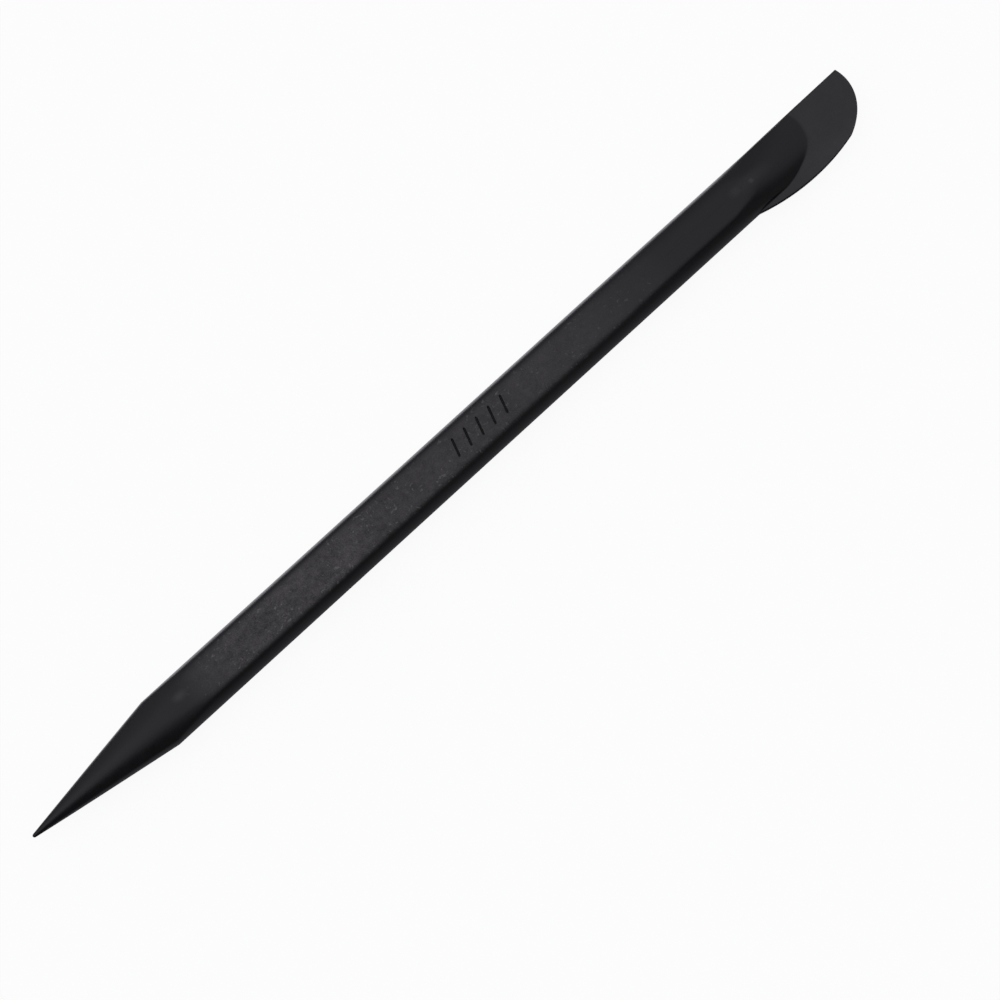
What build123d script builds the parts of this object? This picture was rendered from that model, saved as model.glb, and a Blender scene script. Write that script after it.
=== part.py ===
from build123d import *
import math
import os

# Spudger: a prying stick for opening cases and moving cables on a workbench.
# It is one moulding in black glass-filled nylon, the same on its top and its underside:
# a bar with flat faces and round sides, a long point at one end and a thin curved blade
# at the other, with a short engraved mark on the top face.
#
# Frame, in millimetres: +X runs from the point to the blade, +Z is the normal of the marked
# face, and the blade's belly is on the -Y side. The origin is on the underside, on the bar's
# centreline, halfway along the tool.

# Bar
LENGTH = 127.0
BAR_WIDTH = 6.26
BAR_THICKNESS = 4.5
FLAT_WIDTH = 4.2  # of the top and the underside, before their edges are rounded
FLAT_EDGE_RADIUS = 1.0  # rounding where a flat meets the round side

# Point
TIP_HALF_WIDTH = 0.18
TIP_HALF_HEIGHT = 0.16
TIP_ROUNDING = 0.12
POINT_TAPER = 0.158  # half-width gained for each millimetre from the tip
TIP_SKEW = 0.21  # how far the tip lies to the +Y side of the bar's centreline
POINT_RAMP = 31.0  # from the tip to where the point's top line runs level
POINT_CROWN = 1.09  # height of that level line, as a share of half the bar's thickness
POINT_FULLNESS = 0.85  # 1 makes the point's top line a parabola, less makes it rounder
POINT_STATIONS = 11

# Nose, where the bar slopes down to the blade
NOSE_TOP = 109.6  # from the tip to where the slope has used up the whole flat
NOSE_LEAD = 4.6  # how far before that the slope starts to cut the flat's edges
NOSE_HALF_WIDTH = 3.4
NOSE_SLOPE = 0.18
NOSE_BOW = 0.0014  # how much the slope steepens, per millimetre
NOSE_RUN = 9.57  # from the end of the flat to the foot of the nose on the blade
NOSE_DRIFT = 2.1  # how far the nose's ridge moves to the +Y side at its foot
NOSE_DRIFT_FROM = 108.4  # from the tip to where the ridge starts to move
NOSE_DRIFT_POWER = 2.4
NOSE_STATIONS = 9

# Blade
BLADE_START = 108.05  # from the tip to where the belly leaves the bar
BLADE_THICKNESS = 0.8
BLADE_EDGE_THICKNESS = 0.36
BLADE_THIN_FROM = 119.5  # from the tip to where the blade starts to thin
BELLY_DEPTH = 4.34  # from the bar's centreline to the belly's lowest line
BELLY_PEAK = 116.2
BLADE_CORNER_ANGLE = -61.5  # on the end ellipse, where the belly's arc begins
END_RADIUS_X = 8.45
END_RADIUS_Y = 6.47
END_CENTRE_Y = 2.1
FAR_CORNER_ANGLE = 11.2  # on the end ellipse, where the straight edge ends

# Engraved mark: a row of slanted strokes
MARK_CENTRE_X = 3.8
MARK_STROKES = 5
MARK_PITCH = 1.85
MARK_HEIGHT = 2.4
MARK_SLANT = 20.0
MARK_STROKE_WIDTH = 0.34
MARK_DEPTH = 0.2

TIP_X = -LENGTH / 2
MID_Z = BAR_THICKNESS / 2
HALF_WIDTH = BAR_WIDTH / 2
SHOULDER = (HALF_WIDTH - TIP_HALF_WIDTH) / POINT_TAPER  # where the point is as wide as the bar
RAMP_END_X = TIP_X + POINT_RAMP
NOSE_TOP_X = TIP_X + NOSE_TOP
NOSE_START_X = NOSE_TOP_X - NOSE_LEAD
NOSE_FOOT_X = NOSE_TOP_X + NOSE_RUN
NOSE_DRIFT_X = TIP_X + NOSE_DRIFT_FROM
NOSE_BURIED = 0.5  # how far the nose runs on inside the blade
BLADE_BURIED = 1.5  # how far the blade runs back inside the nose
ROOT_INSET = 0.04  # how far inside the bar's sides the blade's outline starts
CUT_MARGIN = 5.0


def section_plane(x, y=0.0):
    """A plane across the tool at x, with its own x along +Y and its own y along +Z."""
    return Plane(origin=(x, y, MID_Z), x_dir=(0, 1, 0), z_dir=(1, 0, 0))


def bar_section():
    """The bar's section: two flats joined by round sides."""
    flat = FLAT_WIDTH / 2
    right = ThreePointArc((flat, -MID_Z), (HALF_WIDTH, 0), (flat, MID_Z))
    left = ThreePointArc((-flat, MID_Z), (-HALF_WIDTH, 0), (-flat, -MID_Z))
    top = Line((flat, MID_Z), (-flat, MID_Z))
    bottom = Line((-flat, -MID_Z), (flat, -MID_Z))
    section = make_face([right, top, left, bottom])
    return fillet(section.vertices(), FLAT_EDGE_RADIUS)


def bar(x_from, x_to):
    """A length of the bar between two places along it."""
    return extrude(section_plane(x_from) * bar_section(), x_to - x_from)


def point_half_width(s):
    """Half-width of the point at s from the tip: a straight taper."""
    return TIP_HALF_WIDTH + POINT_TAPER * s


def point_half_height(s):
    """Half-height of the point at s from the tip: a curve that ends level."""
    rise = 1 - (1 - s / POINT_RAMP) ** 2
    crown = POINT_CROWN * MID_Z
    return TIP_HALF_HEIGHT + (crown - TIP_HALF_HEIGHT) * rise**POINT_FULLNESS


def point_centre(s):
    """Sideways place of the point's centreline, which meets the bar's at the shoulder."""
    return TIP_SKEW * max(0.0, 1 - s / SHOULDER)


def point_blank():
    """A long elliptical cone that trims the bar to its point."""
    sections = []
    for i in range(POINT_STATIONS):
        s = POINT_RAMP * (i / (POINT_STATIONS - 1)) ** 2
        plane = section_plane(TIP_X + s, point_centre(s))
        sections.append(plane * Ellipse(point_half_width(s), point_half_height(s)))
    blank = loft(sections)
    tip_edge = blank.edges().sort_by(Axis.X)[0]
    return fillet(tip_edge, TIP_ROUNDING)


def nose_half_height(x):
    """Half-height of the nose at x: a slope that steepens a little towards the blade."""
    past = x - NOSE_TOP_X
    return MID_Z - NOSE_SLOPE * past - NOSE_BOW * past**2


def nose_centre(x):
    """Sideways place of the nose's ridge, which curves towards the straight edge."""
    along = max(0.0, (x - NOSE_DRIFT_X) / (NOSE_FOOT_X - NOSE_DRIFT_X))
    return NOSE_DRIFT * along**NOSE_DRIFT_POWER


def nose_blank():
    """An elliptical wedge that trims the bar down to the blade."""
    end = NOSE_FOOT_X + NOSE_BURIED
    sections = []
    for i in range(NOSE_STATIONS):
        x = NOSE_START_X + (end - NOSE_START_X) * i / (NOSE_STATIONS - 1)
        plane = section_plane(x, nose_centre(x))
        sections.append(plane * Ellipse(NOSE_HALF_WIDTH, nose_half_height(x)))
    return loft(sections)


def end_point(angle):
    """A point on the ellipse that the blade's end follows."""
    a = math.radians(angle)
    centre_x = LENGTH / 2 - END_RADIUS_X
    return (centre_x + END_RADIUS_X * math.cos(a), END_CENTRE_Y + END_RADIUS_Y * math.sin(a))


def blade_outline():
    """The blade from above: a straight edge, an elliptical end and a round belly."""
    root_x = TIP_X + BLADE_START
    root = (root_x, -HALF_WIDTH + ROOT_INSET)
    far_root = (root_x, HALF_WIDTH - ROOT_INSET)
    inner = (root_x - BLADE_BURIED, 0)
    corner = end_point(BLADE_CORNER_ANGLE)
    far_corner = end_point(FAR_CORNER_ANGLE)
    centre = (LENGTH / 2 - END_RADIUS_X, END_CENTRE_Y)
    belly = ThreePointArc(root, (TIP_X + BELLY_PEAK, -BELLY_DEPTH), corner)
    sweep = FAR_CORNER_ANGLE - BLADE_CORNER_ANGLE
    end = EllipticalCenterArc(
        centre, END_RADIUS_X, END_RADIUS_Y, start_angle=BLADE_CORNER_ANGLE, arc_size=sweep
    )
    straight = Line(far_corner, far_root)
    back = Polyline(far_root, inner, root)
    return make_face([belly, end, straight, back])


def blade_side():
    """The blade from the side: level at first, then thinning evenly to its end."""
    back = TIP_X + BLADE_START - CUT_MARGIN
    thin = TIP_X + BLADE_THIN_FROM
    end = LENGTH / 2 + 0.01
    half = BLADE_THICKNESS / 2
    edge = BLADE_EDGE_THICKNESS / 2
    profile = Polyline(
        (back, -half), (thin, -half), (end, -edge), (end, edge), (thin, half), (back, half), close=True
    )
    side = Plane(origin=(0, 0, MID_Z), x_dir=(1, 0, 0), z_dir=(0, -1, 0))
    return extrude(side * make_face(profile), HALF_WIDTH + CUT_MARGIN, both=True)


def blade():
    plate = extrude(Plane.XY.offset(MID_Z - BLADE_THICKNESS / 2) * blade_outline(), BLADE_THICKNESS)
    return plate & blade_side()


def mark():
    """The cutter for the engraved strokes in the top face."""
    face = Plane.XY.offset(BAR_THICKNESS - MARK_DEPTH)
    strokes = []
    for i in range(MARK_STROKES):
        x = MARK_CENTRE_X + MARK_PITCH * (i - (MARK_STROKES - 1) / 2)
        stroke = SlotOverall(MARK_HEIGHT, MARK_STROKE_WIDTH, rotation=90 - MARK_SLANT)
        strokes.append(Pos(x, 0) * stroke)
    return extrude(face * Sketch(children=strokes), 2 * MARK_DEPTH)


def spudger_stick():
    point = bar(TIP_X, RAMP_END_X) & point_blank()
    middle = bar(RAMP_END_X, NOSE_START_X)
    nose = bar(NOSE_START_X, NOSE_FOOT_X + NOSE_BURIED) & nose_blank()
    return point + middle + nose + blade() - mark()


os.makedirs("parts", exist_ok=True)
export_step(spudger_stick(), "parts/spudger_stick.step")
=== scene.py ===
import math

import bpy
import numpy as np
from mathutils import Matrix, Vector


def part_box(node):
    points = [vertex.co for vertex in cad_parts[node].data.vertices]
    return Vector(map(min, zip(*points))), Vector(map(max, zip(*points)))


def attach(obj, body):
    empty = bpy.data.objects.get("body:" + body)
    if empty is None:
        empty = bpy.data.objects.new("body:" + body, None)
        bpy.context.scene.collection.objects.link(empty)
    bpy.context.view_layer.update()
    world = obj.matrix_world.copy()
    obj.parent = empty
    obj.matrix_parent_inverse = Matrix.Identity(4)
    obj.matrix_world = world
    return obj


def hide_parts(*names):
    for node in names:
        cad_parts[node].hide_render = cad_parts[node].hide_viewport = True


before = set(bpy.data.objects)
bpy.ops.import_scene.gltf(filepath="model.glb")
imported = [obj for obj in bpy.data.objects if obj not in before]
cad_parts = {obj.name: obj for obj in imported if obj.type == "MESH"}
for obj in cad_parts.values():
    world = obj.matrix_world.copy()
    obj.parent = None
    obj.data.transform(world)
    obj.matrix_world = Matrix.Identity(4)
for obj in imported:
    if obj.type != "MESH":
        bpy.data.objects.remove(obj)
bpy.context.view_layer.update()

NODE = "spudger_stick"
LOW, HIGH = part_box(NODE)
MM = 0.001

# ---------------------------------------------------------------- shape, in millimetres
# Heights are measured from the stick's mid-height plane. The stick is the same above and
# below that plane, apart from the mark. s runs from the tip, and x and y are the frame's.
LENGTH = (HIGH.x - LOW.x) / MM
TIP_X = LOW.x / MM
END_X = HIGH.x / MM
MID_Z = (LOW.z + HIGH.z) / 2 / MM
BAR_HALF_HEIGHT = (HIGH.z - LOW.z) / 2 / MM
BAR_HALF_WIDTH = 3.13
FLAT_HALF_WIDTH = 2.16
FLAT_SHIFT = -0.18  # the flats lie a little to the -Y side of the bar's centreline
FLAT_EDGE_BLEND = 0.76  # rounding between a flat and the round side
PARTING_HALF_HEIGHT = 0.05
PARTING_SHARE = 0.3  # the parting line's most height, as a share of the point's

TIP_HALF_WIDTH = 0.18
TIP_HALF_HEIGHT = 0.16
TIP_ROUNDING = 0.2
POINT_TAPER = 0.158
SHOULDER = (BAR_HALF_WIDTH - TIP_HALF_WIDTH) / POINT_TAPER
TIP_SKEW = 0.21  # how far the tip lies to the +Y side of the bar's centreline
POINT_RAMP = 31.0  # from the tip to where the point's top line runs level
POINT_CROWN = 1.09  # height of that level line, as a share of half the bar's thickness
POINT_FULLNESS = 0.85  # 1 makes the point's top line a parabola, less makes it rounder
POINT_BLEND = 0.22
POINT_FADE = 3.0  # length over which the point's shape becomes the bar's
CROWN_SPREAD = 1.07  # width of the point's crown against the width of its sides

NOSE_TOP_X = TIP_X + 109.6
NOSE_START_X = NOSE_TOP_X - 4.6
NOSE_FOOT_X = NOSE_TOP_X + 9.57
NOSE_HALF_WIDTH = 3.4
NOSE_SLOPE = 0.18
NOSE_BOW = 0.0014  # how much the slope steepens, per millimetre
NOSE_DRIFT = 2.1  # how far the nose's ridge moves to the +Y side at its foot
NOSE_DRIFT_X = TIP_X + 108.4
NOSE_DRIFT_POWER = 2.4
NOSE_BLEND = 0.2
NOSE_FROM_X = NOSE_TOP_X - 9

BLADE_START_X = TIP_X + 108.05
WALL_GROWS_FROM = BLADE_START_X - 0.5  # from the parting line's height to the blade's edge
WALL_GROWS_TO = BLADE_START_X + 1.5
BLADE_HALF_THICKNESS = 0.4
BLADE_END_HALF_THICKNESS = 0.18
BLADE_THIN_X = TIP_X + 119.5
BLADE_EDGE_SHARE = 0.8  # the edge's thickness as a share of the blade's there
BLADE_BEVEL = 1.0
BLADE_EDGE_ROUND = 0.05
BELLY_DEPTH = 4.34
BELLY_PEAK_X = TIP_X + 116.2
END_RADIUS_X = 8.45
END_RADIUS_Y = 6.47
END_CENTRE_X = END_X - END_RADIUS_X
END_CENTRE_Y = 2.1
CORNER_ANGLE = math.radians(-61.5)
FAR_CORNER_ANGLE = math.radians(11.2)
FOOT_BLEND = 0.1  # where the nose meets the blade
FOOT_WIDENING = 2  # the blend grows by this share towards the belly's root
FOOT_WIDENS_FROM = 2.2  # to the -Y side of the bar's centreline
FOOT_WIDENS_TO = 3.0
OUTLINE_MARGIN = 0.001  # how far outside its outline the blade's edge still has a height
ROOT_INSET = 0.04  # how far inside the bar's sides the blade's outline starts

MARK_CENTRE_X = 3.8
MARK_STROKES = 5
MARK_PITCH = 1.85
MARK_HEIGHT = 2.4
MARK_SLANT = math.radians(20)
MARK_STROKE_WIDTH = 0.34
MARK_DEPTH = 0.2
MARK_LIP = 0.03  # how far the rounded lip of a stroke reaches past its width

ACROSS = 120  # cells across the top face
TIP_RINGS = 60
POINT_RING_STEP = 0.14
BAR_RINGS = 36  # on each side of the mark
NOSE_RING_STEP = 0.1
BLADE_RINGS = 60
# places of the rings around the middle of an engraved stroke
STROKE_RINGS = np.concatenate([[-0.6, -0.4], np.linspace(-0.24, 0.24, 15), [0.4, 0.6]])
# the rings lean along the strokes, and stand square before the first place and after the last
LEAN_FROM, LEAN_FULL, LEAN_EASES, LEAN_ENDS = -40, -15, 25, 38


def smooth_min(a, b, blend):
    """The lesser of two heights, with a rounded corner where they cross."""
    h = np.maximum(blend - np.abs(a - b), 0) / blend
    return np.minimum(a, b) - h * h * blend / 4


def smooth_max(a, b, blend):
    return -smooth_min(-a, -b, blend)


def smooth_step(low, high, x):
    t = np.clip((x - low) / (high - low), 0, 1)
    return t * t * (3 - 2 * t)


def circle_through(p, q, r):
    """Centre and radius of the circle through three points."""
    a = np.array([[q[0] - p[0], q[1] - p[1]], [r[0] - q[0], r[1] - q[1]]])
    b = [
        (q[0] ** 2 - p[0] ** 2 + q[1] ** 2 - p[1] ** 2) / 2,
        (r[0] ** 2 - q[0] ** 2 + r[1] ** 2 - q[1] ** 2) / 2,
    ]
    centre = np.linalg.solve(a, b)
    return centre, math.dist(centre, p)


def side_arc(flat_edge):
    """Centre and radius of the arc from a flat's edge round the bar's side."""
    centre, radius = circle_through(
        (flat_edge, BAR_HALF_HEIGHT), (BAR_HALF_WIDTH, 0), (flat_edge, -BAR_HALF_HEIGHT)
    )
    return centre[0], radius


NEAR_CENTRE, NEAR_RADIUS = side_arc(FLAT_HALF_WIDTH - FLAT_SHIFT)
FAR_CENTRE, FAR_RADIUS = side_arc(FLAT_HALF_WIDTH + FLAT_SHIFT)


def end_point(angle):
    """A point on the ellipse that the blade's end follows."""
    x = END_CENTRE_X + END_RADIUS_X * math.cos(angle)
    y = END_CENTRE_Y + END_RADIUS_Y * math.sin(angle)
    return x, y


CORNER = end_point(CORNER_ANGLE)
FAR_CORNER = end_point(FAR_CORNER_ANGLE)
FAR_ROOT = (BLADE_START_X, BAR_HALF_WIDTH - ROOT_INSET)
BELLY_CENTRE, BELLY_RADIUS = circle_through(
    (BLADE_START_X, -BAR_HALF_WIDTH + ROOT_INSET), (BELLY_PEAK_X, -BELLY_DEPTH), CORNER
)


def bar_height(y):
    """Half-height of the bar's section at y: a flat, then the arc round the side."""
    centre = np.where(y < 0, NEAR_CENTRE, FAR_CENTRE)
    radius = np.where(y < 0, NEAR_RADIUS, FAR_RADIUS)
    side = np.sqrt(np.maximum(radius**2 - np.maximum(np.abs(y) - centre, 0) ** 2, 0))
    return smooth_min(np.full_like(side, BAR_HALF_HEIGHT), side, FLAT_EDGE_BLEND)


def tip_rounding(s):
    return np.sqrt(1 - (1 - np.clip(s / TIP_ROUNDING, 0, 1)) ** 2)


def point_half_width(x):
    s = np.maximum(x - TIP_X, 0)
    return (TIP_HALF_WIDTH + POINT_TAPER * s) * tip_rounding(s)


def point_half_height(x):
    s = np.clip(x - TIP_X, 0, POINT_RAMP)
    rise = 1 - (1 - s / POINT_RAMP) ** 2
    crown = POINT_CROWN * BAR_HALF_HEIGHT
    return (TIP_HALF_HEIGHT + (crown - TIP_HALF_HEIGHT) * rise**POINT_FULLNESS) * tip_rounding(s)


def point_centre(x):
    return TIP_SKEW * np.clip(1 - (x - TIP_X) / SHOULDER, 0, 1)


def ellipse_height(y, centre, half_width, half_height):
    inside = 1 - ((y - centre) / np.maximum(half_width, 1e-9)) ** 2
    return half_height * np.sqrt(np.maximum(inside, 0))


def nose_height(x, y):
    """Half-height of the wedge that slopes down to the blade."""
    past = x - NOSE_TOP_X
    half_height = np.maximum(BAR_HALF_HEIGHT - NOSE_SLOPE * past - NOSE_BOW * past**2, 0)
    along = np.clip((x - NOSE_DRIFT_X) / (NOSE_FOOT_X - NOSE_DRIFT_X), 0, None)
    return ellipse_height(y, NOSE_DRIFT * along**NOSE_DRIFT_POWER, NOSE_HALF_WIDTH, half_height)


def far_edge(x):
    """The blade's straight edge: its y at x."""
    slope = (FAR_CORNER[1] - FAR_ROOT[1]) / (FAR_CORNER[0] - FAR_ROOT[0])
    return FAR_ROOT[1] + slope * (x - FAR_ROOT[0])


def edge_distance(x, y):
    """Distance inside the blade's outline."""
    belly = BELLY_RADIUS - np.hypot(x - BELLY_CENTRE[0], y - BELLY_CENTRE[1])
    across, up = (x - END_CENTRE_X) / END_RADIUS_X, (y - END_CENTRE_Y) / END_RADIUS_Y
    level = np.hypot(across, up)
    steep = np.hypot(across / END_RADIUS_X, up / END_RADIUS_Y) / np.maximum(level, 1e-6)
    end = np.where(x > END_CENTRE_X, (1 - level) / np.maximum(steep, 1e-6), np.inf)
    return np.minimum(np.minimum(belly, end), far_edge(x) - y)


def blade_height(x, y):
    """Half-height of the blade, which is thinner at its end and along its edge."""
    thin = np.clip((x - BLADE_THIN_X) / (END_X - BLADE_THIN_X), 0, 1)
    half = BLADE_HALF_THICKNESS + (BLADE_END_HALF_THICKNESS - BLADE_HALF_THICKNESS) * thin
    distance = edge_distance(x, y)
    inside = np.maximum(distance, 0)
    ease = smooth_step(-BLADE_BEVEL / 3, BLADE_BEVEL, inside)
    bevel = BLADE_EDGE_SHARE + (1 - BLADE_EDGE_SHARE) * ease
    left = np.maximum(BLADE_EDGE_ROUND - inside, 0)
    rounding = BLADE_EDGE_ROUND - np.sqrt(BLADE_EDGE_ROUND**2 - left**2)
    return np.where(distance > -OUTLINE_MARGIN, half * bevel - rounding, 0)


def wall_height(x):
    """Half-height of the side wall: the parting line on the bar, the edge on the blade."""
    thin = np.clip((x - BLADE_THIN_X) / (END_X - BLADE_THIN_X), 0, 1)
    half = BLADE_HALF_THICKNESS + (BLADE_END_HALF_THICKNESS - BLADE_HALF_THICKNESS) * thin
    edge = half * BLADE_EDGE_SHARE - BLADE_EDGE_ROUND
    land = np.minimum(PARTING_HALF_HEIGHT, PARTING_SHARE * point_half_height(x))
    return land + (edge - land) * smooth_step(WALL_GROWS_FROM, WALL_GROWS_TO, x)


def side_reach(x):
    """Lowest and highest y of the stick at x."""
    wall = wall_height(x)
    near = NEAR_CENTRE + np.sqrt(NEAR_RADIUS**2 - wall**2)
    far = FAR_CENTRE + np.sqrt(FAR_RADIUS**2 - wall**2)
    drawn_in = np.maximum(BAR_HALF_WIDTH - point_half_width(x), 0)
    centre = point_centre(x)
    low = centre - near + drawn_in
    high = centre + far - drawn_in
    belly = BELLY_CENTRE[1] - np.sqrt(BELLY_RADIUS**2 - np.clip(x - BELLY_CENTRE[0], -20, 20) ** 2)
    up = END_RADIUS_Y * np.sqrt(np.clip(1 - ((x - END_CENTRE_X) / END_RADIUS_X) ** 2, 0, 1))
    blade_low = np.where(x > CORNER[0], END_CENTRE_Y - up, belly)
    blade_high = np.where(x > FAR_CORNER[0], END_CENTRE_Y + up, far_edge(x))
    on_blade = x > BLADE_START_X
    low = np.where(on_blade, np.minimum(low, blade_low), low)
    high = np.where(on_blade, np.maximum(high, blade_high), high)
    past = x > NOSE_FOOT_X
    return np.where(past, blade_low, low), np.where(past, blade_high, high)


def point_height(x, y):
    """The bar's round sides, drawn in to the taper, under a rounded crown."""
    half_width = point_half_width(x)
    off_axis = y - point_centre(x)
    side = bar_height(off_axis + np.sign(off_axis) * np.maximum(BAR_HALF_WIDTH - half_width, 0))
    half_height = point_half_height(x)
    crown = ellipse_height(off_axis, 0, half_width * CROWN_SPREAD, half_height)
    return smooth_min(side, crown, np.minimum(POINT_BLEND, half_height / 2 + 1e-6))


def body_height(x, y):
    """Height of the top face above the mid-height plane."""
    bar = bar_height(y)
    fade = smooth_step(TIP_X + POINT_RAMP - POINT_FADE, TIP_X + POINT_RAMP, x)
    stick = point_height(x, y) * (1 - fade) + bar * fade
    nose = smooth_min(stick, nose_height(x, y), NOSE_BLEND)
    stick = np.where(x > NOSE_FROM_X, nose, stick)
    widening = FOOT_WIDENING * smooth_step(FOOT_WIDENS_FROM, FOOT_WIDENS_TO, -y)
    foot_blend = FOOT_BLEND * (1 + widening)
    blade = smooth_max(stick, blade_height(x, y), foot_blend)
    stick = np.where(x > BLADE_START_X, blade, stick)
    return np.maximum(stick, wall_height(x))


def mark_groove(x, y):
    """Depth of the engraved strokes."""
    depth = np.zeros_like(x)
    reach = (MARK_HEIGHT - MARK_STROKE_WIDTH) / 2
    along = np.array([math.sin(MARK_SLANT), math.cos(MARK_SLANT)])
    for i in range(MARK_STROKES):
        dx = x - MARK_CENTRE_X - MARK_PITCH * (i - (MARK_STROKES - 1) / 2)
        t = np.clip(dx * along[0] + y * along[1], -reach, reach)
        away = np.hypot(dx - t * along[0], y - t * along[1])
        wall = smooth_step(0, MARK_STROKE_WIDTH / 2 + MARK_LIP, away)
        depth = np.maximum(depth, MARK_DEPTH * (1 - wall))
    return depth


def stations():
    """Places along the stick for the rings, close together where the shape turns."""
    tip = TIP_X + (SHOULDER - 1.5) * np.linspace(0, 1, TIP_RINGS)[1:] ** 2
    point = np.arange(tip[-1] + 0.12, TIP_X + POINT_RAMP + 1, POINT_RING_STEP)
    half = MARK_PITCH * (MARK_STROKES - 1) / 2
    strokes = MARK_CENTRE_X + np.linspace(-half, half, MARK_STROKES)
    mark = (strokes[:, None] + STROKE_RINGS[None, :]).ravel()
    bar_a = np.linspace(point[-1], mark[0], BAR_RINGS)[1:-1]
    bar_b = np.linspace(mark[-1], NOSE_START_X, BAR_RINGS)[1:-1]
    nose = np.arange(NOSE_START_X, NOSE_FOOT_X + 1, NOSE_RING_STEP)
    rest = END_X - nose[-1]
    blade = END_X - rest * np.linspace(1, 0.0, BLADE_RINGS)[1:-1] ** 2
    return np.concatenate([tip, point, bar_a, mark, bar_b, nose, blade])


def stick_mesh(name):
    """The whole stick as one closed skin of rings round it."""
    xs = stations()
    low, high = side_reach(xs)
    swing = np.linspace(-math.pi / 2, math.pi / 2, ACROSS + 1)
    y = (low + high)[:, None] / 2 + (high - low)[:, None] / 2 * np.sin(swing)[None, :]
    lean = smooth_step(LEAN_FROM, LEAN_FULL, xs) * (1 - smooth_step(LEAN_EASES, LEAN_ENDS, xs))
    x = xs[:, None] + y * math.tan(MARK_SLANT) * lean[:, None]
    top = body_height(x, y)
    under = -top
    top = top - mark_groove(x, y)
    upper = np.stack([x, y, top], -1)
    lower = np.stack([x, y, under], -1)[:, ::-1]
    rings = np.concatenate([upper, lower], 1)
    count, size = rings.shape[:2]
    tip = np.array([[TIP_X, TIP_SKEW, 0.0]])
    points = np.concatenate([rings.reshape(-1, 3), tip])
    points[:, 2] += MID_Z
    index = np.arange(count * size).reshape(count, size)
    turn = np.roll(index, -1, 1)
    faces = np.stack([index[:-1], index[1:], turn[1:], turn[:-1]], -1).reshape(-1, 4).tolist()
    pole = count * size
    faces += [[int(a), int(b), pole] for a, b in zip(index[0], turn[0])]
    last = index[-1]
    half = size // 2
    for j in range(half - 1):
        corners = (last[j], last[size - 1 - j], last[size - 2 - j], last[j + 1])
        faces.append([int(corner) for corner in corners])
    mesh = bpy.data.meshes.new(name)
    mesh.from_pydata((points * MM).tolist(), [], faces)
    mesh.validate()
    for face in mesh.polygons:
        face.use_smooth = True
    return mesh


class Graph:
    """Short calls for making and linking nodes."""

    def __init__(self, tree):
        self.tree = tree

    def node(self, kind, **settings):
        made = self.tree.nodes.new("ShaderNode" + kind)
        for name, value in settings.items():
            setattr(made, name, value)
        return made

    def feed(self, socket, value):
        if isinstance(value, bpy.types.NodeSocket):
            self.tree.links.new(value, socket)
        else:
            socket.default_value = value

    def math(self, operation, *values, clamp=False):
        made = self.node("Math", operation=operation, use_clamp=clamp)
        for socket, value in zip(made.inputs, values):
            self.feed(socket, value)
        return made.outputs[0]

    def remap(self, value, low, high, to_low=0.0, to_high=1.0, kind="LINEAR"):
        made = self.node("MapRange", interpolation_type=kind)
        names = ("Value", "From Min", "From Max", "To Min", "To Max")
        for name, item in zip(names, (value, low, high, to_low, to_high)):
            self.feed(made.inputs[name], item)
        return made.outputs["Result"]

    def ramp(self, value, stops):
        """Grey levels at places from 0 to 1."""
        made = self.node("ValToRGB")
        made.color_ramp.interpolation = "EASE"
        while len(made.color_ramp.elements) < len(stops):
            made.color_ramp.elements.new(0.5)
        for element, (where, level) in zip(made.color_ramp.elements, stops):
            element.position = where
            element.color = (level, level, level, 1)
        self.feed(made.inputs["Fac"], value)
        return made.outputs["Color"]

    def scale(self, vector, factors):
        made = self.node("VectorMath", operation="MULTIPLY")
        self.feed(made.inputs[0], vector)
        made.inputs[1].default_value = factors
        return made.outputs[0]

    def noise(self, vector, scale, detail=2.0, distortion=0.0):
        made = self.node("TexNoise")
        self.feed(made.inputs["Vector"], vector)
        made.inputs["Scale"].default_value = scale
        made.inputs["Detail"].default_value = detail
        made.inputs["Distortion"].default_value = distortion
        return made.outputs["Fac"]

    def near(self, vector, place, radii):
        """1 at a place, falling to 0 on an ellipsoid around it."""
        stretch = [1 / radius for radius in radii]
        away = self.node("VectorMath", operation="DISTANCE")
        self.feed(away.inputs[0], self.scale(vector, stretch))
        away.inputs[1].default_value = [p * k for p, k in zip(place, stretch)]
        return self.remap(away.outputs["Value"], 1, 0, kind="SMOOTHSTEP")

    def scale_color(self, color, factor):
        made = self.node("VectorMath", operation="SCALE")
        self.feed(made.inputs[0], color)
        self.feed(made.inputs["Scale"], factor)
        return made.outputs[0]

    def mix(self, factor, a, b):
        made = self.node("Mix", data_type="RGBA")
        for name, item in zip(("Factor", "A", "B"), (factor, a, b)):
            socket = [i for i in made.inputs if i.name == name and i.enabled][0]
            self.feed(socket, item)
        return [o for o in made.outputs if o.enabled][0]


# ---------------------------------------------------------------- material
# colours
SMOOTH_COLOR = (0.0102, 0.0100, 0.0108, 1)
MATTE_COLOR = (0.0775, 0.074, 0.072, 1)
BLADE_COLOR = (0.034, 0.0335, 0.0355, 1)
# painted sheen along the blade's belly edge, where its bevel catches light
BELLY_SHEEN_COLOR = (0.050, 0.0495, 0.0515, 1)
# painted shade: darker towards and on the nose, whose slope down to the blade reflects less light
NOSE_SHADE_COLOR = (0.0075, 0.0074, 0.0080, 1)
FLECK_COLOR = (0.195, 0.19, 0.193, 1)
# painted shade, for the engraved strokes and the blade's steep edge walls
DEEP_SHADE_COLOR = (0.006, 0.006, 0.0065, 1)

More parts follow.
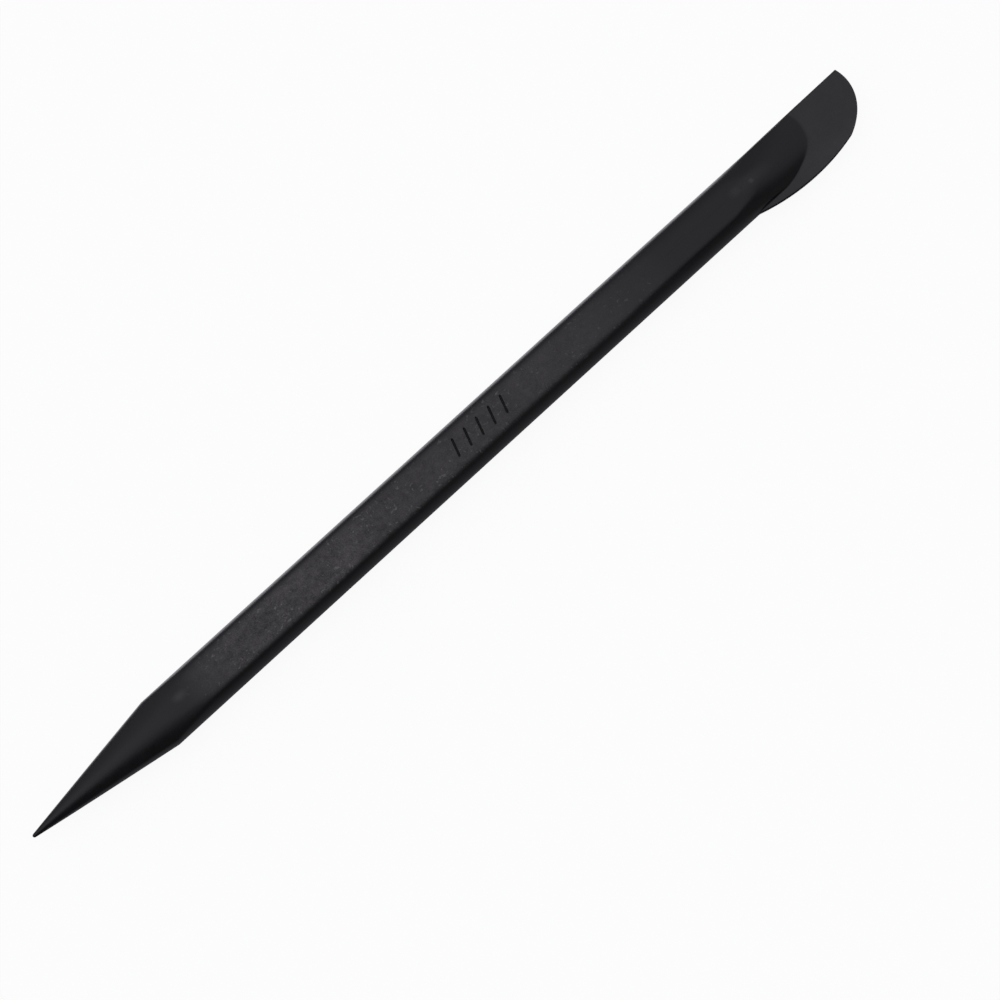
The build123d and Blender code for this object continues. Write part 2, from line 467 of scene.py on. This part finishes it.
# zones, in millimetres
MATTE_FROM = BAR_HALF_HEIGHT - 0.34  # heights over which the round edge turns matte
MATTE_TO = BAR_HALF_HEIGHT - 0.03
BLADE_ZONE_BLEND = 0.06
ROOT_LEAN = -0.5  # the painted shade on the blade's edge walls starts along a line that leans with this slope
SHADED_WALL_FROM = BLADE_START_X + 0.6
SHADED_WALL_TO = BLADE_START_X + 3
SHADED_WALL_TOP = 0.5
SHADED_WALL_FULL = 0.42
# where the painted shade on the nose grows, along x
NOSE_SHADE_FROM = NOSE_START_X - 8
NOSE_SHADE_TO = NOSE_START_X + 4
ENDS_FROM, ENDS_TO = 36, 44
# where the painted sheen along the belly edge grows, as y
BELLY_SHEEN_FROM, BELLY_SHEEN_TO = -1.4, -4.2
FLAT_EDGE_FROM = FLAT_HALF_WIDTH - 0.9
FLAT_EDGE_TO = FLAT_HALF_WIDTH - 0.2
SUNK_FROM = BAR_HALF_HEIGHT - 0.05
SUNK_TO = BAR_HALF_HEIGHT - 0.13
MARK_HALF_LENGTH = 5.2  # of the area in which a sunk surface is a stroke
MARK_HALF_WIDTH = 1.3

# strengths
MOTTLE_ELSEWHERE = 0.35  # contrast of the mottling
MOTTLE_ON_MATTE = 1.15  # how much more of it the matte flats have
EDGE_FLECKS = 0.35
FLECK_LEVEL = 0.668  # of the noise, above which it is a fleck
FLECK_CROWDING = 0.11  # how much lower that level is inside a cluster
FLECK_SOFTNESS = 0.14
PIT_DARKNESS = 0.45
BASE_ROUGHNESS = 0.34
WORN_ROUGHNESS = 0.12  # added where the flats are matte
CLOUD_ROUGHNESS = 0.10
STREAK_ROUGHNESS = 0.08
EDGE_WALL_ROUGHNESS = 0.5
FLECK_RELIEF = 0.8
STREAK_RELIEF = 0.35
SMOOTHER_ENDS = 0.7
RELIEF_STRENGTH = 0.35
RELIEF_DEPTH = 0.03
# places (x, y), radii and strength of the painted highlights on the top face, where the flats run
# out onto a crest that catches the light
HIGHLIGHT_SPOTS = [
    ((TIP_X + 22.0, 0.3), (1.4, 0.8, 1.0), 0.55),
    ((NOSE_TOP_X + 0.5, 0), (4.5, 1.3, 1.5), 0.24),
    ((NOSE_TOP_X - 2.1, 0.1), (1.4, 0.9, 1.0), 0.3),
    ((NOSE_TOP_X + 0.1, -0.15), (0.7, 0.55, 1.0), 0.75),
]
# how matte the flats are at places along X, in millimetres
MATTE_ALONG = [
    (-42, 0.0),
    (-37, 0.72),
    (-33, 0.96),
    (-20, 0.96),
    (-5, 0.76),
    (12, 0.66),
    (19, 0.58),
    (28, 0.22),
    (34, 0.0),
]


def along_ramp(graph, x, stops):
    """A level that changes with x, from stops in millimetres."""
    share = graph.remap(x, TIP_X, END_X)
    return graph.ramp(share, [((place - TIP_X) / LENGTH, level) for place, level in stops])


def nylon():
    """Black glass-filled nylon: matte, grained flats with pale flecks, and smooth ends."""
    mat = bpy.data.materials.new("black_nylon_skin")
    mat.use_nodes = True
    graph = Graph(mat.node_tree)
    shader = mat.node_tree.nodes["Principled BSDF"]
    place = graph.scale(graph.node("TexCoord").outputs["Object"], (1 / MM, 1 / MM, 1 / MM))
    split = graph.node("SeparateXYZ")
    graph.feed(split.inputs[0], place)
    x, y, z = split.outputs
    height = graph.math("ABSOLUTE", graph.math("SUBTRACT", z, MID_Z))

    # zones
    flat = graph.remap(height, MATTE_FROM, MATTE_TO, kind="SMOOTHSTEP")
    worn = graph.math("MULTIPLY", flat, along_ramp(graph, x, MATTE_ALONG))
    blade_zone_top = BLADE_HALF_THICKNESS + BLADE_ZONE_BLEND
    on_blade = graph.math(
        "MULTIPLY",
        graph.remap(height, blade_zone_top, BLADE_HALF_THICKNESS, kind="SMOOTHSTEP"),
        graph.remap(x, BLADE_START_X - 0.5, BLADE_START_X + 0.5),
    )
    # painted shade on the blade's steep edge walls, which reflect the dark side of the studio;
    # they are also made rougher
    facing = graph.node("SeparateXYZ")
    graph.feed(facing.inputs[0], graph.node("TexCoord").outputs["Normal"])
    steep = graph.remap(graph.math("ABSOLUTE", facing.outputs["Z"]), 0.6, 0.3)
    past_root = graph.math("MULTIPLY_ADD", y, ROOT_LEAN, x)
    clear = graph.remap(past_root, SHADED_WALL_FROM, SHADED_WALL_TO)
    shaded_edge_wall = graph.math("MULTIPLY", steep, clear)
    shaded_edge_wall = graph.math("MULTIPLY", shaded_edge_wall, graph.remap(height, SHADED_WALL_TOP, SHADED_WALL_FULL))
    # painted shade towards and on the nose
    nose_shade = graph.remap(x, NOSE_SHADE_FROM, NOSE_SHADE_TO, kind="SMOOTHSTEP")
    ends = graph.remap(graph.math("ABSOLUTE", x), ENDS_FROM, ENDS_TO, kind="SMOOTHSTEP")

    # grain
    blotch = graph.noise(place, scale=0.33, detail=2.0)
    cloud = graph.noise(place, scale=1.3, detail=3.0, distortion=0.4)
    grain = graph.noise(place, scale=7.0, detail=3.0)
    lengthwise = graph.scale(place, (0.22, 5.5, 2.0))
    streak = graph.noise(lengthwise, scale=1.0, detail=3.0)
    mottle = 0.0
    for pattern, share in ((blotch, 0.8), (cloud, 1.2), (grain, 1.6)):
        centred = graph.math("SUBTRACT", pattern, 0.5)
        mottle = graph.math("MULTIPLY_ADD", centred, share, mottle)
    worn_twice = graph.math("MULTIPLY", worn, worn)
    contrast = graph.math("MULTIPLY_ADD", worn_twice, MOTTLE_ON_MATTE, MOTTLE_ELSEWHERE)
    tone = graph.math("MULTIPLY_ADD", mottle, contrast, 1.0)

    # pale flecks of glass fibre, in clusters and along the rubbed edges of the flats
    fleck_noise = graph.noise(place, scale=2.5, detail=2.5, distortion=0.6)
    mirrored = graph.scale(place, (-1, 1, 1))
    pit_noise = graph.noise(mirrored, scale=3.3, detail=2.0, distortion=0.5)
    pit = graph.remap(pit_noise, 0.38, 0.3, kind="SMOOTHSTEP")
    cluster = graph.remap(graph.noise(place, scale=0.55, detail=1.0), 0.42, 0.68)
    off_axis = graph.math("ABSOLUTE", y)
    edge = graph.remap(off_axis, FLAT_EDGE_FROM, FLAT_EDGE_TO, kind="SMOOTHSTEP")
    dense = graph.math("MULTIPLY_ADD", edge, EDGE_FLECKS, cluster, clamp=True)
    level = graph.math("MULTIPLY_ADD", dense, -FLECK_CROWDING, FLECK_LEVEL)
    fleck = graph.math("SUBTRACT", fleck_noise, level)
    fleck = graph.remap(fleck, 0, FLECK_SOFTNESS, kind="SMOOTHSTEP")
    fleck = graph.math("MULTIPLY", fleck, worn)
    pit = graph.math("MULTIPLY", graph.math("MULTIPLY", pit, cluster), worn)
    tone = graph.math("MULTIPLY_ADD", pit, -PIT_DARKNESS, tone)

    # painted highlights on the crests where the flats run out
    painted_highlight = 0.0
    for (spot_x, spot_y), radii, strength in HIGHLIGHT_SPOTS:
        spot = graph.near(place, (spot_x, spot_y, HIGH.z / MM), radii)
        painted_highlight = graph.math("MAXIMUM", painted_highlight, graph.math("MULTIPLY", spot, strength))

    # painted sheen: the blade is coloured lighter towards its belly edge, where the edge's bevel
    # catches light
    belly = graph.math(
        "MULTIPLY",
        graph.remap(y, BELLY_SHEEN_FROM, BELLY_SHEEN_TO, kind="SMOOTHSTEP"),
        graph.remap(x, BELLY_PEAK_X - 2, BELLY_PEAK_X + 3),
    )

    # the engraved strokes, painted dark as shade in their recess: below the top face, near the
    # mark and on the upper half only
    sunk = graph.remap(height, SUNK_FROM, SUNK_TO)
    from_mark = graph.math("ABSOLUTE", graph.math("SUBTRACT", x, MARK_CENTRE_X))
    in_mark = graph.math(
        "MULTIPLY",
        graph.remap(from_mark, MARK_HALF_LENGTH, MARK_HALF_LENGTH - 0.3),
        graph.remap(off_axis, MARK_HALF_WIDTH, MARK_HALF_WIDTH - 0.1),
    )
    upper = graph.remap(z, MID_Z, MID_Z + 0.5)
    groove_shade = graph.math("MULTIPLY", sunk, graph.math("MULTIPLY", in_mark, upper))

    # painted shade towards and on the nose
    color = graph.mix(nose_shade, SMOOTH_COLOR, NOSE_SHADE_COLOR)
    color = graph.mix(worn, color, MATTE_COLOR)
    # the blade, with painted sheen towards its belly edge
    color = graph.mix(on_blade, color, graph.mix(belly, BLADE_COLOR, BELLY_SHEEN_COLOR))
    # painted highlights, lightened to the matte colour
    color = graph.mix(painted_highlight, color, MATTE_COLOR)
    color = graph.scale_color(color, tone)
    color = graph.mix(fleck, color, FLECK_COLOR)
    # painted shade in the engraved strokes
    color = graph.mix(groove_shade, color, DEEP_SHADE_COLOR)
    # painted shade on the blade's steep edge walls
    color = graph.mix(shaded_edge_wall, color, DEEP_SHADE_COLOR)
    graph.feed(shader.inputs["Base Color"], color)

    rough = graph.math("MULTIPLY_ADD", worn, WORN_ROUGHNESS, BASE_ROUGHNESS)
    for pattern, share in ((cloud, CLOUD_ROUGHNESS), (streak, STREAK_ROUGHNESS)):
        centred = graph.math("SUBTRACT", pattern, 0.5)
        rough = graph.math("MULTIPLY_ADD", centred, share, rough)
    rough = graph.math("MULTIPLY_ADD", shaded_edge_wall, EDGE_WALL_ROUGHNESS, rough)
    graph.feed(shader.inputs["Roughness"], rough)

    # relief: mould grain, deeper on the bar than on the ends, and faint lengthwise streaks
    depth = graph.math("MULTIPLY_ADD", ends, -SMOOTHER_ENDS, 1.0)
    relief = graph.math("ADD", grain, graph.math("MULTIPLY", fleck_noise, FLECK_RELIEF))
    relief = graph.math("MULTIPLY", relief, depth)
    relief = graph.math("MULTIPLY_ADD", streak, STREAK_RELIEF, relief)
    bump = graph.node("Bump")
    bump.inputs["Strength"].default_value = RELIEF_STRENGTH
    bump.inputs["Distance"].default_value = RELIEF_DEPTH * MM
    graph.feed(bump.inputs["Height"], relief)
    graph.feed(shader.inputs["Normal"], bump.outputs["Normal"])
    return mat


stick = bpy.data.objects.new("spudger_skin", stick_mesh("spudger_skin"))
bpy.context.scene.collection.objects.link(stick)
stick.data.materials.append(nylon())
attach(stick, "root")
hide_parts(NODE)

# ---------------------------------------------------------------- floor, lights and camera
FLOOR_SIZE = 6.0
FLOOR_GLOW = 0.93
FLOOR_COLOR = (0.12, 0.12, 0.12, 1)


def white_floor():
    """A white light table that only the camera sees. The studio's world lights the stick."""
    half = FLOOR_SIZE / 2
    mesh = bpy.data.meshes.new("floor")
    corners = [(-half, -half, 0), (half, -half, 0), (half, half, 0), (-half, half, 0)]
    mesh.from_pydata(corners, [], [(0, 1, 2, 3)])
    floor = bpy.data.objects.new("floor", mesh)
    bpy.context.scene.collection.objects.link(floor)
    mat = bpy.data.materials.new("light_table")
    mat.use_nodes = True
    shader = mat.node_tree.nodes["Principled BSDF"]
    shader.inputs["Base Color"].default_value = FLOOR_COLOR
    shader.inputs["Roughness"].default_value = 1.0
    shader.inputs["Specular IOR Level"].default_value = 0.0
    shader.inputs["Emission Color"].default_value = (1, 1, 1, 1)
    shader.inputs["Emission Strength"].default_value = FLOOR_GLOW
    mesh.materials.append(mat)
    floor.visible_diffuse = False
    floor.visible_glossy = False
    floor.visible_shadow = False


# level of the dome at places along Y, as the direction's own y
SKY_STOPS = [
    (-0.8, 0.02),
    (-0.6, 0.04),
    (-0.42, 0.15),
    (-0.25, 0.4),
    (-0.1, 0.55),
    (0.3, 0.57),
    (0.6, 0.4),
    (1.0, 0.28),
]
SKYLINE = 0.22  # sine of the elevation below which the dome darkens towards its rim
GROUND_NEAR = 0.16  # light from below, on the -Y side
GROUND_FAR = 1.25  # light from below, on the +Y side
GROUND_EDGE = -0.5  # sine of the elevation where the light from below is full
LOW_LIGHT = 0.16  # least level all round on the +X side
LOW_LIGHT_BEHIND = 0.05  # and on the -X side
SKY_LEFT, SKY_RIGHT = 1.17, 0.78  # the dome's level on the -X and the +X side
SKY_TINT = (1.02, 1.0, 1.09)


def studio_world():
    """A soft dome that is dark on the -Y side and a little brighter on the -X side.

    Light also comes from below, most of it from the +Y side, and a dim light from +X.
    """
    world = bpy.data.worlds.new("studio")
    bpy.context.scene.world = world
    world.use_nodes = True
    graph = Graph(world.node_tree)
    background = world.node_tree.nodes["Background"]
    coord = graph.node("TexCoord").outputs["Generated"]
    split = graph.node("SeparateXYZ")
    graph.feed(split.inputs["Vector"], coord)
    across = graph.remap(split.outputs["Y"], -1, 1)
    sky = graph.ramp(across, [((place + 1) / 2, level) for place, level in SKY_STOPS])
    ground = graph.remap(split.outputs["Y"], 0.0, 0.6, GROUND_NEAR, GROUND_FAR)
    rise = graph.remap(split.outputs["Z"], -0.05, SKYLINE, kind="SMOOTHSTEP")
    above = graph.math("MULTIPLY", sky, rise)
    sideways = graph.remap(split.outputs["X"], -0.15, 0.55, SKY_LEFT, SKY_RIGHT)
    above = graph.math("MULTIPLY", above, sideways)
    below = graph.remap(split.outputs["Z"], -0.1, GROUND_EDGE, kind="SMOOTHSTEP")
    level = graph.math("ADD", above, graph.math("MULTIPLY", ground, below))
    low = graph.remap(
        split.outputs["X"], -0.15, 0.45, LOW_LIGHT_BEHIND, LOW_LIGHT, kind="SMOOTHSTEP"
    )
    low = graph.math("MULTIPLY", low, graph.remap(split.outputs["Z"], 0.8, 0.4, kind="SMOOTHSTEP"))
    level = graph.math("MAXIMUM", level, low)
    graph.feed(background.inputs["Color"], graph.scale_color(SKY_TINT, level))
    background.inputs["Strength"].default_value = 1.0


white_floor()
studio_world()

# the photograph's camera, in metres: above the -Y side, turned towards the point
AZIMUTH = math.radians(-43.94)
ELEVATION = math.radians(72)
DISTANCE = 0.566
FOCAL_LENGTH = 183.2
SENSOR_WIDTH = 36.0
AIM = Vector((-0.00012, -0.0073, MID_Z * MM))
outward = math.cos(ELEVATION)
back = Vector((math.sin(AZIMUTH) * outward, -math.cos(AZIMUTH) * outward, math.sin(ELEVATION)))
lens = bpy.data.cameras.new("camera")
lens.lens = FOCAL_LENGTH
lens.sensor_width = SENSOR_WIDTH
camera = bpy.data.objects.new("camera", lens)
camera.location = AIM + DISTANCE * back
camera.rotation_euler = (-back).to_track_quat("-Z", "Y").to_euler()
bpy.context.scene.collection.objects.link(camera)
bpy.context.scene.camera = camera
bpy.context.scene.view_settings.view_transform = "Standard"
